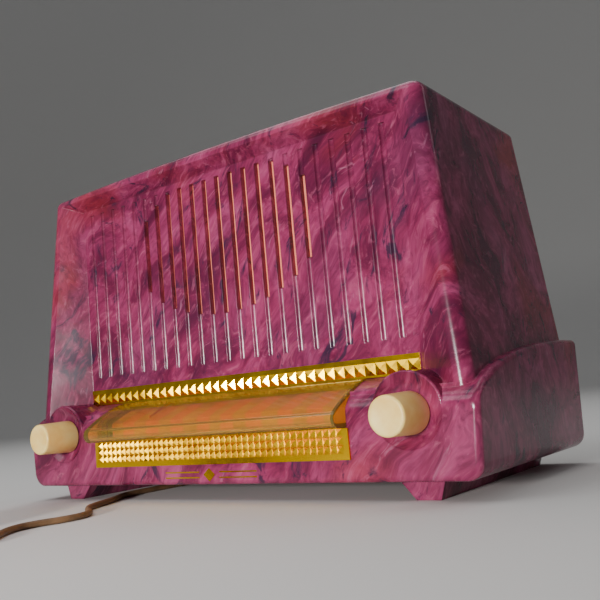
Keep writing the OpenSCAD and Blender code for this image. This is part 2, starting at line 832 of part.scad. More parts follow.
pin_angles = [for (i = [0:6]) 45 * i];
pin_circle = 4.76;
tube_foot = deck + 3.6;

module tube_sockets() {
    color([0.16, 0.10, 0.07]) for (x = tube_at) difference() {
        union() {
            post(x, tube_d, deck - 8, deck + 3.5, 8);
            post(x, tube_d, deck + 0.1, deck + 1.4, 10.5);
        }
        post(x, tube_d, deck - 9, deck + 5, 1.6);
        for (a = pin_angles)
            post(x + pin_circle * cos(a), tube_d + pin_circle * sin(a), deck - 4, deck + 5, 0.75);
    }
}

// Glass envelope with its seven pins, hollow, with a drawn tip
module tube(x, h) {
    color([0.85, 0.92, 0.95, 0.4]) union() {
        at(x, tube_d, tube_foot) rotate_extrude() polygon(concat(
            [[0, 0], [8, 0], [9.4, 1.5]], arc([3.4, h - 6], 6, 0, 75, 6), [[1.6, h], [0, h + 2.6]],
            [[0, h - 1.6]], arc([3.4, h - 6.4], 5, 80, 0, 6), [[8.4, 2.2], [0, 2.2]]
        ));
        for (a = pin_angles)
            post(x + pin_circle * cos(a), tube_d + pin_circle * sin(a), deck - 2, tube_foot + 0.3, 0.5);
    }
}
module rectifier_tube() { tube(tube_at[0], 50); }
module output_tube() { tube(tube_at[1], 50); }
module detector_tube() { tube(tube_at[2], 42); }
module if_tube() { tube(tube_at[3], 42); }
module converter_tube() { tube(tube_at[4], 42); }

// Plates between mica discs inside the five envelopes
module tube_elements() {
    color([0.30, 0.30, 0.32]) for (x = tube_at) union() {
        post(x, tube_d, tube_foot + 8, tube_foot + 30, 5);
        post(x, tube_d, tube_foot + 7.4, tube_foot + 8, 7.9);
        post(x, tube_d, tube_foot + 30, tube_foot + 30.6, 7.9);
        post(x, tube_d, tube_foot + 2.3, tube_foot + 7.4, 0.6);
    }
}

// Small parts wired below the deck, lying across the chassis
module axial(x, d, z, r, length) {
    union() {
        at(x - length / 2, d, z) rotate([0, 90, 0]) cylinder(r = r, h = length);
        at(x - length / 2 - 6, d, z) rotate([0, 90, 0]) cylinder(r = 0.4, h = length + 12);
    }
}
module paper_capacitors() {
    color([0.75, 0.62, 0.38]) for (i = [0:4]) axial(-88 + i * 42, 78, 30 + 6 * (i % 2), 4.5, 26);
}
module resistors() {
    color([0.40, 0.22, 0.14]) for (i = [0:7]) axial(-98 + i * 28, 62, 38 - 8 * (i % 2), 2.2, 11);
}

// ================= speaker =================

module speaker_outline(shrink) {
    translate([0, speaker_z]) polygon(ellipse(speaker_a - shrink, speaker_b - shrink));
}

module speaker_gasket() {
    color([0.25, 0.22, 0.20]) difference() {
        slab(27.1, 29) speaker_outline(0);
        slab(26, 30) speaker_outline(7);
        for (p = stud_at) bar(p[0], speaker_z + p[1], 1.8, 20, 40);
    }
}

module speaker_basket() {
    color([0.22, 0.22, 0.24]) difference() {
        union() {
            difference() {
                slab(29.1, 30.6) speaker_outline(0);
                slab(28, 31) speaker_outline(7.5);
            }
            for (a = [0:90:270]) hull() {
                translate([(speaker_a - 4) * cos(a), front + 30.3, speaker_z + (speaker_b - 4) * sin(a)])
                    cube([7, 1, 7], center = true);
                translate([24 * cos(a), front + 62.5, speaker_z + 24 * sin(a)]) cube([7, 1, 7], center = true);
            }
            bar(0, speaker_z, 26, 62, 64);
        }
        bar(0, speaker_z, 14, 60, 66);
        for (p = stud_at) bar(p[0], speaker_z + p[1], 1.8, 20, 40);
    }
}

// Oval paper cone that narrows to the voice coil
function cone_ring(d, a, b) =
    [for (p = ellipse(a, b, 32)) [p[0], front + d, speaker_z + p[1]]];

module speaker_cone() {
    color([0.16, 0.14, 0.13]) loft([
        cone_ring(32.3, 60.2, 36.4), cone_ring(36.9, 52.2, 31.7), cone_ring(46.9, 31.2, 21.2),
        cone_ring(55.9, 13.5, 13.5), cone_ring(55, 13, 13), cone_ring(46, 30.9, 20.9),
        cone_ring(36, 51.9, 31.4), cone_ring(31.4, 60, 36.2)
    ], hollow = true);
}

module voice_coil() {
    color([0.70, 0.42, 0.18]) difference() {
        bar(0, speaker_z, 12.6, 56.2, 72);
        bar(0, speaker_z, 12.2, 55, 73);
    }
}

module dust_cap() {
    color([0.20, 0.18, 0.16]) at(0, 50, speaker_z) rotate([-90, 0, 0]) rotate_extrude()
        polygon(concat(arc([0, 18], 18, -90, -45, 8), arc([0, 18], 17.4, -45, -90, 8)));
}

module speaker_magnet() {
    color([0.50, 0.51, 0.53]) difference() {
        bar(0, speaker_z, 17, 64.1, 90);
        difference() {
            bar(0, speaker_z, 13.6, 63, 76);
            bar(0, speaker_z, 11.2, 62, 77);
        }
    }
}

module speaker_studs() {
    color(steel) for (p = stud_at) bar(p[0], speaker_z + p[1], 1.5, panel_d + panel_t + 0.05, 35);
}

module speaker_nuts() {
    color(steel) for (p = stud_at) difference() {
        at(p[0], 30.7, speaker_z + p[1]) rotate([-90, 0, 0]) cylinder(r = 3.2, h = 2.4, $fn = 6);
        bar(p[0], speaker_z + p[1], 1.55, 29, 36);
    }
}

// ================= back =================

function cover_outline() = let(
    half = [
        [142, 12.6], [147.2, 17.8], [148.4, 60.5], [upper_half(64) - wall - 0.4, 64],
        [upper_half(184) - wall - 0.4, 184], [upper_half(187) - wall - 2, 187]
    ]
) concat(half, [for (i = [len(half) - 1:-1:0]) [-half[i][0], half[i][1]]]);

module back_cover() {
    color(card) difference() {
        slab(cover_d, cover_d + cover_t) polygon(cover_outline());
        for (p = cover_screw_at) bar(p[0], p[1], 1.9, 120, 135);
        bar(grommet_x, grommet_z, 4.2, 120, 135);
        for (i = [-5:5]) {
            for (z = [92, 108, 124, 140]) bar(i * 20, z, 4, 120, 135);
            block([i * 20 - 6, 120, 66], [i * 20 + 6, 135, 70]);
            block([i * 20 - 6, 120, 160], [i * 20 + 6, 135, 164]);
        }
        block([-40, 120, 20], [40, 135, 30]);
    }
}

module back_cover_screws() {
    color(steel) for (p = cover_screw_at) {
        bar(p[0], p[1], 3.6, cover_d + cover_t + 0.05, cover_d + cover_t + 2);
        bar(p[0], p[1], 1.35, 116, cover_d + cover_t + 0.05);
    }
}

// Flat loop of five turns stapled to the inner face of the cover
module loop_antenna() {
    color([0.72, 0.40, 0.20]) for (i = [0:4]) slab(cover_d - 1.3, cover_d - 0.2) difference() {
        translate([-112 + i * 3, 76 + i * 3]) square([224 - i * 6, 98 - i * 6]);
        translate([-110.8 + i * 3, 77.2 + i * 3]) square([221.6 - i * 6, 95.6 - i * 6]);
    }
}

// ================= mains cord =================

// Tapered strain relief held in the back cover by its groove
module cord_grommet() {
    color([0.10, 0.09, 0.08]) at(grommet_x, 0, grommet_z) rotate([-90, 0, 0]) rotate_extrude() polygon([
        [0, cover_d - 2], [5.4, cover_d - 2], [5.4, cover_d - 0.1], [4.1, cover_d - 0.1],
        [4.1, cover_d + cover_t + 0.1], [6, cover_d + cover_t + 0.1], [5.6, cover_d + cover_t + 3],
        [2.9, grommet_end], [0, grommet_end]
    ]);
}

module mains_cord() {
    color([0.45, 0.33, 0.20]) for (route = [cord_route, tail_route])
        tube_along([for (p = curve(route, 3)) [p[0], front + p[1], p[2]]], cord_d / 2, 8);
}

module cord_coil() {
    color([0.45, 0.33, 0.20]) at(coil_x, coil_d, 0) rotate_extrude() polygon([
        [coil_r - coil_half + 2, 0], [coil_r + coil_half - 2, 0], [coil_r + coil_half, 2],
        [coil_r + coil_half, coil_h - 2], [coil_r + coil_half - 2, coil_h],
        [coil_r - coil_half + 2, coil_h], [coil_r - coil_half, coil_h - 2], [coil_r - coil_half, 2]
    ]);
}

module plug_body() {
    color([0.13, 0.10, 0.08]) at(plug_x - 0.3, plug_d, 8) rotate([0, -90, 0]) rotate_extrude() polygon([
        [0, 0], [2.4, 0], [3.2, 5], [6.6, 8], [7.9, 12], [7.9, 22], [7.4, 24], [0, 24]
    ]);
}

module plug_blades() {
    color([0.80, 0.66, 0.30]) for (s = [-1, 1])
        block([plug_x - 42, plug_d + s * 4.2 - 0.8, 5], [plug_x - 24.35, plug_d + s * 4.2 + 0.8, 11]);
}

cabinet();
grille_cloth();
upper_trim_strip();
lower_trim_strip();
dial_lens();
dial_scale();
front_ornament();
tuning_knob();
tuning_shaft();
tuning_shaft_clip();
tuning_bushing();
volume_knob();
volume_shaft();
volume_control();
control_nuts();
chassis();
chassis_grommets();
chassis_screws();
tuning_capacitor_frame();
tuning_stator();
tuning_rotor();
tuning_drum();
dial_cord();
idler_pulley();
idler_pin();
pointer();
pointer_rail();
dial_lamp();
lamp_socket();
speaker_gasket();
speaker_basket();
speaker_cone();
voice_coil();
dust_cap();
speaker_magnet();
speaker_studs();
speaker_nuts();
output_transformer_core();
output_transformer_winding();
filter_capacitor();
if_transformer_cans();
tube_sockets();
converter_tube();
if_tube();
detector_tube();
output_tube();
rectifier_tube();
tube_elements();
paper_capacitors();
resistors();
loop_antenna();
back_cover();
back_cover_screws();
cord_grommet();
mains_cord();
cord_coil();
plug_body();
plug_blades();
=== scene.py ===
"""Table radio in a marbled moulding: its looks, in metres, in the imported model's own frame."""

import json
import math

import bmesh
import bpy
import numpy as np
from mathutils import Matrix, Vector


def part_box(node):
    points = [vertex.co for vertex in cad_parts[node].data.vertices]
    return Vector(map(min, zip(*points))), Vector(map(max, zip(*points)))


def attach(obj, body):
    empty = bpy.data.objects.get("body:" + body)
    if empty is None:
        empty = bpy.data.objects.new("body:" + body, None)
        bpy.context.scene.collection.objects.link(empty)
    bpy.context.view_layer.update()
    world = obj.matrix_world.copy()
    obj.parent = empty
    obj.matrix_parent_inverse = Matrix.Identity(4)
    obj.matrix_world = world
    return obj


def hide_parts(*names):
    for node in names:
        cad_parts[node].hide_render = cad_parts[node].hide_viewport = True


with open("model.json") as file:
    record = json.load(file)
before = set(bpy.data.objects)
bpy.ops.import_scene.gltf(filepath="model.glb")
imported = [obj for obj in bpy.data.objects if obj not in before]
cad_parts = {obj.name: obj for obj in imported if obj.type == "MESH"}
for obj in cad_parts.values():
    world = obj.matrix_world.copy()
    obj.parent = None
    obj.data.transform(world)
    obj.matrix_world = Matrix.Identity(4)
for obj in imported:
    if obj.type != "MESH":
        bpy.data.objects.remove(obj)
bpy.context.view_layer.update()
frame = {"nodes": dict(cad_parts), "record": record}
nodes = frame["nodes"]
SCENE = bpy.context.scene

# ---------------------------------------------------------------- dimensions, in millimetres
# x runs across, d back from the front face of the base, and z up.
MM = 0.001
KNOB_REACH = 18.0
BASE_W, BASE_D = 305.0, 141.0
FRONT = (KNOB_REACH - BASE_D) / 2

# base and runners
SHOULDER_Z, SHOULDER_RISE, SHOULDER_RUN = 40.2, 27.7, 136.0
BASE_CORNER_R, BASE_EDGE_R, BASE_TAPER = 8.0, 3.0, 1.5
WALL, FOOT_H, LEAST_R = 3.2, 8.7, 0.6
RUNNER_FRONT, RUNNER_BACK = 9.0, 134.0

# upper body: its width, front and back at two heights
UPPER_ROOT_Z, UPPER_LOW_Z, UPPER_TOP = 46.0, 50.0, 191.0
UPPER_W_LOW, UPPER_W_TOP = 296.0, 270.4
UPPER_FRONT_LOW, UPPER_FRONT_TOP = 5.6, 13.8
UPPER_BACK_LOW, UPPER_BACK_TOP = 137.0, 131.5
UPPER_EDGE_R, UPPER_BACK_R, TOP_EDGE_R, TOP_CROWN = 6.0, 3.0, 4.0, 2.2

# grille panel, its flutes and the ellipse in which they are open slots
PANEL_D, PANEL_W, PANEL_T, PANEL_BOTTOM, PANEL_TOP = 23.1, 234.0, 3.0, 50.0, 181.8
MARGIN_RUN, MARGIN_LOW_SLOPE, MARGIN_TOP_SLOPE, HOOD_SLOPE = 24.1, 1.31, 1.08, 0.55
FLUTE_COUNT, FLUTE_PITCH, FLUTE_W, FLUTE_DEPTH = 23, 9.9, 3.4, 1.4
FLUTE_Z0, FLUTE_Z1 = 73.0, 178.5
SLOT_Z, SLOT_A, SLOT_B = 142.5, 69.5, 42.5

# knob bosses, dial window and lens
KNOB_X, KNOB_Z, BOSS_Z = 118.7, 38.4, 39.4
BOSS_R, BOSS_EDGE_R, BOSS_END = 17.8, 1.2, 20.3
DISH_R, DISH_FLOOR_R, DISH_LIP, DISH_DEPTH = 16.8, 10.5, 0.4, 4.2
LENS_HALF, LENS_WALL = 87.0, 2.2

# screws, as (x, z) on the back cover and (x, d) under the chassis
COVER_SCREWS = [(-144.3, 26), (144.3, 26), (-129, 180), (129, 180)]
CHASSIS_SCREWS = [(-96, 46), (96, 46), (-96, 106), (96, 106)]

# mains cord
CORD_D = 3.2
FLOOR_Z = CORD_D / 2 + 0.05
CORD_EXIT = (-70, 149.1, 38)
COIL_X, COIL_D, COIL_TURNS = -85.0, -120.0, 11
COIL_OUTER_R, COIL_LOW_Z, COIL_PITCH = 22.4, 2.25, 3.4


def at(x, d, z):
    """Millimetres across, back and up, to the model's frame in metres."""
    return (x * MM, (FRONT + d) * MM, z * MM)


def link(obj):
    SCENE.collection.objects.link(obj)
    return obj


def arc(cx, cy, r, start, end, n):
    """Points along an arc, with its angles in degrees."""
    turns = [math.radians(start + (end - start) * i / n) for i in range(n + 1)]
    return [(cx + r * math.cos(a), cy + r * math.sin(a)) for a in turns]


# ---------------------------------------------------------------- camera
def make_camera():
    """Low, close and off to the right, looking up a little and rolled 5 degrees clockwise."""
    data = bpy.data.cameras.new("Camera")
    data.lens = 46.32
    data.sensor_width = 36.0
    data.clip_start = 0.01
    cam = link(bpy.data.objects.new("Camera", data))
    cam.location = (0.28264, -0.36116, 0.04874)
    cam.rotation_euler = [math.radians(angle) for angle in (97.2905, 5.0946, 36.3154)]
    SCENE.camera = cam


make_camera()


# ---------------------------------------------------------------- cord
# where it lies on the floor, as (x, d), from under the back edge to the coil
FLOOR_ROUTE = [
    (-71.4, 153), (-72.2, 146), (-75, 125), (-78.5, 98), (-81.5, 70), (-83, 45), (-82.5, 19), (-79.1, 8),
    (-73.9, -1), (-68.8, -10.8), (-64.9, -21), (-59.5, -30.5), (-51.2, -37.8), (-42.2, -44.3),
    (-37.4, -53), (-38, -63.6), (-41.8, -73.6), (-42.6, -84), (-38.2, -94), (-30.5, -103),
    (-23.5, -112.5), (-21, -124), (-25, -135), (-33.5, -142.6), (-45, -146.6), (-58, -147.2),
    (-68, -145.8), (-74, -144.6),
]
COIL_ENTRY = (-79.5, -143.2, 1.9)
CORD_TAIL = [(-91, -142.7, 12.4), (-96, -143, 11.8), (-101, -143, 10), (-105, -143, 8.5), (-109.3, -143, 8)]


def smooth_curve(points, steps):
    """A Catmull-Rom curve through the points."""
    p = np.array(points, float)
    out = []
    for i in range(len(p) - 1):
        a, b, c, e = p[max(i - 1, 0)], p[i], p[i + 1], p[min(i + 2, len(p) - 1)]
        for t in (k / steps for k in range(steps)):
            bend = (2 * a - 5 * b + 4 * c - e) * t**2 + (3 * b - a - 3 * c + e) * t**3
            out.append(0.5 * (2 * b + (c - a) * t + bend))
    out.append(p[-1])
    return out


def drop():
    """Out of the strain relief, then down to the floor in two round bends and back under the body."""
    x, exit_d, exit_z = CORD_EXIT
    bend_r, bend_d = 13.3, 160.0
    straight = [(x, d, exit_z) for d in (exit_d, 152, 156)]
    down = [(x, d, z) for d, z in reversed(arc(bend_d, exit_z - bend_r, bend_r, 0, 90, 6))]
    under = arc(bend_d, FLOOR_Z + bend_r, bend_r, 0, -90, 6)
    return straight + down + [(x - 0.05 * k, d, z) for k, (d, z) in enumerate(under)]


def ease(turned, start):
    """A smooth step from 0 to 1 round the given turn, both in degrees."""
    lead, span = 35.0, 110.0
    t = min(max((turned - start + lead) / span, 0.0), 1.0)
    return t * t * (3 - 2 * t)


def coil_turns():
    """Eleven turns in four layers of three, stepping across within a layer and up between layers."""
    inward, outward, upward = (280, 640, 2280, 2640), (1280, 1640, 3280, 3640), (960, 1960, 2960)
    out = []
    for turned in range(0, 360 * COIL_TURNS + 1, 10):
        columns = sum(ease(turned, s) for s in outward) - sum(ease(turned, s) for s in inward)
        layers = sum(ease(turned, s) for s in upward)
        r = COIL_OUTER_R + COIL_PITCH * columns
        a = math.radians(-90 - turned)
        out.append((COIL_X + r * math.cos(a), COIL_D + r * math.sin(a), COIL_LOW_Z + COIL_PITCH * layers))
    return out


def cord_path():
    turns = coil_turns()
    floor = [(x, d, FLOOR_Z) for x, d in FLOOR_ROUTE]
    lead = smooth_curve(drop() + floor + [COIL_ENTRY, turns[0]], 5)
    tail = smooth_curve([turns[-1]] + CORD_TAIL, 4)
    return [at(x, d, max(z, FLOOR_Z)) for x, d, z in lead[:-1] + turns + tail[1:]]


def make_cord(path):
    data = bpy.data.curves.new("mains_lead", "CURVE")
    data.dimensions = "3D"
    data.bevel_depth = CORD_D / 2 * MM
    data.bevel_resolution = 5
    data.use_fill_caps = True
    spline = data.splines.new("POLY")
    spline.points.add(len(path) - 1)
    for point, co in zip(spline.points, path):
        point.co = (*co, 1.0)
    return link(bpy.data.objects.new("mains_lead", data))


cord_points = cord_path()
cord = make_cord(cord_points)


# ---------------------------------------------------------------- mesh helpers
def shade(obj, angle):
    """Smooth shading over edges below the given angle in degrees."""
    obj.data.shade_smooth()
    obj.data.set_sharp_from_angle(angle=math.radians(angle))


def mesh_object(name, verts, faces, angle=35.0):
    """A closed mesh with outward faces."""
    mesh = bpy.data.meshes.new(name)
    bm = bmesh.new()
    corners = [bm.verts.new(v) for v in verts]
    for face in faces:
        bm.faces.new([corners[i] for i in face])
    bmesh.ops.recalc_face_normals(bm, faces=bm.faces)
    bm.to_mesh(mesh)
    bm.free()
    obj = link(bpy.data.objects.new(name, mesh))
    shade(obj, angle)
    return obj


def loft(rings, closed=False):
    """A skin over rings of points: capped at its ends, or closed where the last ring meets the first."""
    n, m = len(rings[0]), len(rings)
    verts = [v for ring in rings for v in ring]
    faces = []
    for j in range(m if closed else m - 1):
        low, high = j * n, (j + 1) % m * n
        faces += [(low + i, low + (i + 1) % n, high + (i + 1) % n, high + i) for i in range(n)]
    if not closed:
        faces += [tuple(range(n - 1, -1, -1)), tuple((m - 1) * n + i for i in range(n))]
    return verts, faces


def lathe_y(profile, x, z, n=96):
    """Revolves (radius, depth) points about an axis along the depth; the ends lie on the axis."""
    rings, verts, faces = [], [], []
    for r, d in profile:
        start = len(verts)
        if r == 0:
            verts.append(at(x, d, z))
        else:
            turns = [2 * math.pi * i / n for i in range(n)]
            verts += [at(x + r * math.cos(a), d, z + r * math.sin(a)) for a in turns]
        rings.append(list(range(start, len(verts))))
    for a, b in zip(rings, rings[1:]):
        for i in range(n):
            k = (i + 1) % n
            if len(a) == 1:
                faces.append((a[0], b[k], b[i]))
            elif len(b) == 1:
                faces.append((a[i], a[k], b[0]))
            else:
                faces.append((a[i], a[k], b[k], b[i]))
    return verts, faces


def cylinder_y(x, z, r, d0, d1, n=48):
    return lathe_y([(0, d0), (r, d0), (r, d1), (0, d1)], x, z, n)


def slab(outline, d0, d1):
    """An outline in x and z, extruded along the depth."""
    return loft([[at(x, d, z) for x, z in outline] for d in (d0, d1)])


def across(outline, x0, x1):
    """An outline in depth and height, extruded across the radio."""
    return loft([[at(x, d, z) for d, z in outline] for x in (x0, x1)])


def upright(outline, z0, z1):
    """An outline in x and depth, extruded upwards."""
    return loft([[at(x, d, z) for x, d in outline] for z in (z0, z1)])


def box(x0, d0, z0, x1, d1, z1):
    return across([(d0, z0), (d1, z0), (d1, z1), (d0, z1)], x0, x1)


def merged(parts):
    """Several separate closed pieces as one mesh."""
    verts, faces = [], []
    for v, f in parts:
        faces += [tuple(i + len(verts) for i in face) for face in f]
        verts += v
    return verts, faces


def boolean(target, others, operation):
    """Joins, cuts or intersects the target with the others, which are then removed."""
    for other in others:
        mod = target.modifiers.new("cut", "BOOLEAN")
        mod.operation = operation
        mod.solver = "MANIFOLD"
        mod.object = other
    bpy.context.view_layer.update()
    result = bpy.data.meshes.new_from_object(target.evaluated_get(bpy.context.evaluated_depsgraph_get()))
    target.modifiers.clear()
    target.data = result
    for other in others:
        bpy.data.objects.remove(other)
    return target


# ---------------------------------------------------------------- cabinet
ROUND_STEPS = 8


def shoulder(d):
    """Height of the base's top edge at a depth: a quarter ellipse, then level."""
    if d >= SHOULDER_RUN:
        return SHOULDER_Z + SHOULDER_RISE
    return SHOULDER_Z + SHOULDER_RISE * math.sqrt(1 - (1 - d / SHOULDER_RUN) ** 2)


def base_ring(d, inset):
    """The base's outline at a depth; the outer one draws in over the rounded front edge."""
    edge = 0.0
    if inset == 0 and d < BASE_EDGE_R:
        edge = BASE_EDGE_R - math.sqrt(BASE_EDGE_R**2 - (BASE_EDGE_R - d) ** 2)
    w = BASE_W / 2 - inset - edge
    low, top = FOOT_H + inset + edge, shoulder(d) - inset
    r_low, r_top = BASE_CORNER_R - inset, max(BASE_EDGE_R - inset, LEAST_R)
    x_low, x_top = w - BASE_TAPER - r_low, w - r_top
    outline = arc(x_low, low + r_low, r_low, -90, 0, ROUND_STEPS)
    outline += arc(x_top, top - r_top, r_top, 0, 90, ROUND_STEPS)
    outline += arc(-x_top, top - r_top, r_top, 90, 180, ROUND_STEPS)
    outline += arc(-x_low, low + r_low, r_low, 180, 270, ROUND_STEPS)
    return [at(x, d, z) for x, z in outline]


def base_solid():
    """Rings crowd towards the front, where the edge and the shoulder turn fastest."""
    count, crowding = 60, 1.35
    turns = [math.radians(90 * (i / count) ** crowding) for i in range(count + 1)]
    return loft([base_ring(d, 0) for d in [SHOULDER_RUN * (1 - math.cos(a)) for a in turns] + [BASE_D]])


def base_hollow():
    count, run = 30, SHOULDER_RUN - WALL
    turns = [math.radians(90 * i / count) for i in range(count + 1)]
    return loft([base_ring(d, WALL) for d in [WALL + run * (1 - math.cos(a)) for a in turns] + [BASE_D + 2]])


def upper_ring(z, inset, crown, open_back=None):
    """The upper body's outline at a height; crown, from 0 to 1, lifts it in the middle."""
    rise = (z - UPPER_LOW_Z) / (UPPER_TOP - UPPER_LOW_Z)
    w = (UPPER_W_LOW + (UPPER_W_TOP - UPPER_W_LOW) * rise) / 2 - inset
    front = UPPER_FRONT_LOW + (UPPER_FRONT_TOP - UPPER_FRONT_LOW) * rise + inset
    back = open_back or UPPER_BACK_LOW + (UPPER_BACK_TOP - UPPER_BACK_LOW) * rise - inset
    least_r, half_steps = 1.0, 10
    r_front = max(UPPER_EDGE_R - inset, least_r)
    r_back = least_r if open_back else max(UPPER_BACK_R - inset, least_r)
    x_front, x_back = w - r_front, w - r_back
    steps = [k / half_steps - 1 for k in range(1, 2 * half_steps)]
    outline = arc(-x_front, front + r_front, r_front, 180, 270, ROUND_STEPS)
    outline += [(s * x_front, front) for s in steps]
    outline += arc(x_front, front + r_front, r_front, 270, 360, ROUND_STEPS)
    outline += arc(x_back, back - r_back, r_back, 0, 90, ROUND_STEPS)
    outline += [(-s * x_back, back) for s in steps]
    outline += arc(-x_back, back - r_back, r_back, 90, 180, ROUND_STEPS)
    half_top = UPPER_W_TOP / 2
    return [at(x, d, z + crown * TOP_CROWN * (1 - (x / half_top) ** 2)) for x, d in outline]


def upper_loft(rings):
    """A skin over rings; its top is strips across, so that the crown stays even."""
    n, m = len(rings[0]), len(rings)
    verts = [v for ring in rings for v in ring]
    faces = []
    for low, high in ((j * n, (j + 1) * n) for j in range(m - 1)):
        faces += [(low + i, high + i, high + (i + 1) % n, low + (i + 1) % n) for i in range(n)]
    faces.append(tuple(range(n)))
    top = (m - 1) * n
    faces += [(top + i, top + n - 1 - i, top + n - 2 - i, top + i + 1) for i in range(n // 2 - 1)]
    return verts, faces


def upper_solid():
    sides, run = 12, UPPER_TOP - TOP_EDGE_R - UPPER_ROOT_Z
    rings = [upper_ring(UPPER_ROOT_Z + run * k / sides, 0, (k / sides) ** 3) for k in range(sides)]
    for a in (math.radians(90 * k / ROUND_STEPS) for k in range(ROUND_STEPS + 1)):
        z = UPPER_TOP - TOP_EDGE_R + TOP_EDGE_R * math.sin(a)
        rings.append(upper_ring(z, TOP_EDGE_R * (1 - math.cos(a)), 1))
    return upper_loft(rings)


def upper_hollow():
    """The inside, past the back edge, with a 1 mm chamfer at its top."""
    past_back, top = BASE_D + 2, UPPER_TOP - WALL
    return upper_loft([
        upper_ring(UPPER_ROOT_Z, WALL, 0, past_back), upper_ring(top - 1, WALL, 1, past_back),
        upper_ring(top, WALL + 1, 1, past_back),
    ])


def recess(grow):
    """The cut down to the grille panel, which flares forward past its sloping margins and hood."""
    w, top, d = PANEL_W / 2 + grow, PANEL_TOP + grow, PANEL_D + grow
    w_low, w_top = w + MARGIN_RUN * MARGIN_LOW_SLOPE, w + MARGIN_RUN * MARGIN_TOP_SLOPE
    hood = top + MARGIN_RUN * HOOD_SLOPE
    mouth = [(-w_low, PANEL_BOTTOM), (w_low, PANEL_BOTTOM), (w_top, hood), (-w_top, hood)]
    panel = [(-w, PANEL_BOTTOM), (w, PANEL_BOTTOM), (w, top), (-w, top)]
    return loft([[at(x, d - MARGIN_RUN, z) for x, z in mouth], [at(x, d, z) for x, z in panel]])


def flute(x, z0, z1):
    """A round-bottomed upright groove in the panel."""
    half, ahead = FLUTE_W / 2, PANEL_D - 1
    bottom = [(px, PANEL_D + depth * FLUTE_DEPTH / half) for px, depth in arc(x, 0, half, 180, 0, 8)]
    return upright([(x - half, ahead)] + bottom + [(x + half, ahead)], z0, z1)


def flutes_and_slots():
    """All of the flutes; inside the ellipse each is an open slot, with a flute above and below it."""
    apart = 0.02
    flutes, slots = [], []
    for k in range(FLUTE_COUNT):
        x = (k - FLUTE_COUNT // 2) * FLUTE_PITCH
        if abs(x) > SLOT_A - FLUTE_PITCH / 2:
            flutes.append(flute(x, FLUTE_Z0, FLUTE_Z1))
            continue
        half = SLOT_B * math.sqrt(1 - (x / SLOT_A) ** 2)
        low, top = SLOT_Z - half, min(FLUTE_Z1, SLOT_Z + half)
        slots.append(box(x - FLUTE_W / 2, PANEL_D - 1, low, x + FLUTE_W / 2, PANEL_D + 4, top))
        flutes.append(flute(x, FLUTE_Z0, low - apart))
        if top < FLUTE_Z1:
            flutes.append(flute(x, top + apart, FLUTE_Z1))
    return merged(flutes + slots)


def boss(x):
    """The round boss behind a knob."""
    edge = arc(BOSS_R - BOSS_EDGE_R, BOSS_EDGE_R, BOSS_EDGE_R, -90, 0, 6)
    return lathe_y([(0, 0)] + edge + [(BOSS_R, BOSS_END), (0, BOSS_END)], x, BOSS_Z)


def dish(x):
    """The hollow in a boss's face."""
    steps, slope, mouth_r, ahead = 12, DISH_R - DISH_FLOOR_R, DISH_R + 0.2, -2
    bowl = [(0, ahead), (mouth_r, ahead), (DISH_R, DISH_LIP)]
    for t in (k / steps for k in range(1, steps + 1)):
        bowl.append((DISH_R - slope * t, DISH_LIP + (DISH_DEPTH - DISH_LIP) * math.sin(math.pi / 2 * t)))
    return lathe_y(bowl + [(0, DISH_DEPTH)], x, BOSS_Z)


def runner(side):
    root = FOOT_H + 1
    outline = [(107, root), (107, FOOT_H), (114.5, 0), (126.5, 0), (129.5, FOOT_H), (129.5, root)]
    return slab([(side * x, z) for x, z in outline], RUNNER_FRONT, RUNNER_BACK)


def part(data, name="cutter"):
    return mesh_object(name, *data)


def screw_posts():
    """Posts for the back cover's screws, trimmed to the outer shape."""
    post_r, front, back = 4.6, 112, 125.85
    posts = [part(cylinder_y(x, z, post_r, front, back)) for x, z in COVER_SCREWS]
    posts = boolean(posts[0], posts[1:], "UNION")
    envelope = boolean(part(upper_solid()), [part(base_solid())], "UNION")
    return boolean(posts, [envelope], "INTERSECT")


def openings():
    """The flutes and slots, dial window, dishes, bores, screw holes and underside vents."""
    window_half, window_low, window_high, window_back = 87.2, 33.75, 62, 22.8
    control_r, bore_r, cover_hole_r, chassis_hole_r = 14.4, 5.4, 1.4, 2.4
    vent_half, vent_front, vent_back, vent_reach, vent_pitch = 2, 54, 100, 80, 16
    cuts = [part(flutes_and_slots())]
    cuts.append(part(box(-window_half, -2, window_low, window_half, window_back, window_high)))
    for x in (-KNOB_X, KNOB_X):
        behind, bore = cylinder_y(x, BOSS_Z, control_r, 8, 31), cylinder_y(x, KNOB_Z, bore_r, 0, 10)
        cuts += [part(dish(x)), part(behind), part(bore)]
    cuts += [part(cylinder_y(x, z, cover_hole_r, 114, 127, 24)) for x, z in COVER_SCREWS]
    cuts += [part(upright(arc(x, d, chassis_hole_r, 0, 345, 23), 0, 20)) for x, d in CHASSIS_SCREWS]
    for x in range(-vent_reach, vent_reach + 1, vent_pitch):
        cuts.append(part(box(x - vent_half, vent_front, 4, x + vent_half, vent_back, 16)))
    return cuts


def make_cabinet():
    upper = boolean(part(upper_solid(), "cabinet_moulding"), [part(recess(0))], "DIFFERENCE")
    body = boolean(upper, [part(base_solid()), part(boss(KNOB_X)), part(boss(-KNOB_X))], "UNION")
    hollow = boolean(part(upper_hollow()), [part(recess(PANEL_T))], "DIFFERENCE")
    posts = screw_posts()
    body = boolean(body, [hollow, part(base_hollow())], "DIFFERENCE")
    floors = [part(cylinder_y(x, BOSS_Z, BOSS_R - 0.2, 1, 8, 96)) for x in (-KNOB_X, KNOB_X)]
    body = boolean(body, [part(runner(-1)), part(runner(1)), posts] + floors, "UNION")
    body = boolean(body, openings(), "DIFFERENCE")
    shade(body, 32)
    even = body.modifiers.new("even", "WEIGHTED_NORMAL")
    even.keep_sharp = True
    even.weight = 80
    return body


